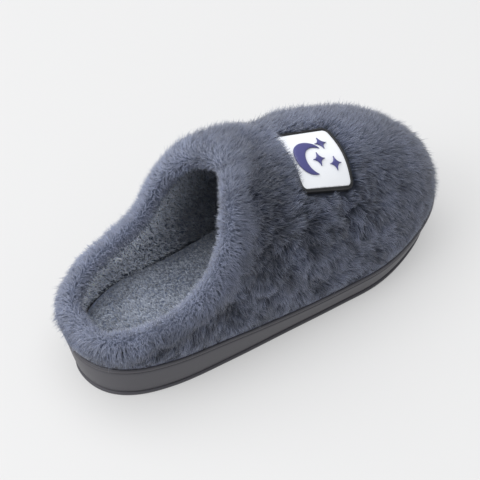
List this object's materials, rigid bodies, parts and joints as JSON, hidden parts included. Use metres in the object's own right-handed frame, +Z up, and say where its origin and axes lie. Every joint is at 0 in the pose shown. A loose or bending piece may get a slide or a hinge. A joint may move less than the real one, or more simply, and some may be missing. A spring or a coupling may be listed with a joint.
{
  "type": "house slipper",
  "caption": "Closed-toe plush mule slipper for a right foot, with a furry roll round the low heel, a padded footbed and a thick flared foam sole.",
  "frame": {"origin": "on the floor, under the middle of the slipper's box", "axes": "+X towards the toe, +Y towards the inner (big toe) side, +Z up"},
  "size_m": [0.2864, 0.1232, 0.1295],
  "materials": {
    "plush_fur": "deep blue-grey faux fur pile",
    "plush_lining": "short grey plush",
    "sole_foam": "matte moulded foam",
    "tread_rubber": "matte moulded rubber",
    "black_vinyl": "satin moulded vinyl",
    "white_vinyl": "satin moulded vinyl",
    "violet_vinyl": "satin moulded vinyl"
  },
  "bodies": {
    "root": {"outsole": "tread_rubber", "midsole": "sole_foam", "insole": "plush_lining", "upper": "plush_fur", "badge_base": "black_vinyl", "badge_field": "white_vinyl", "badge_moon": "violet_vinyl", "badge_star_1": "violet_vinyl", "badge_star_2": "violet_vinyl", "badge_star_3": "violet_vinyl"}
  },
  "joints": []
}
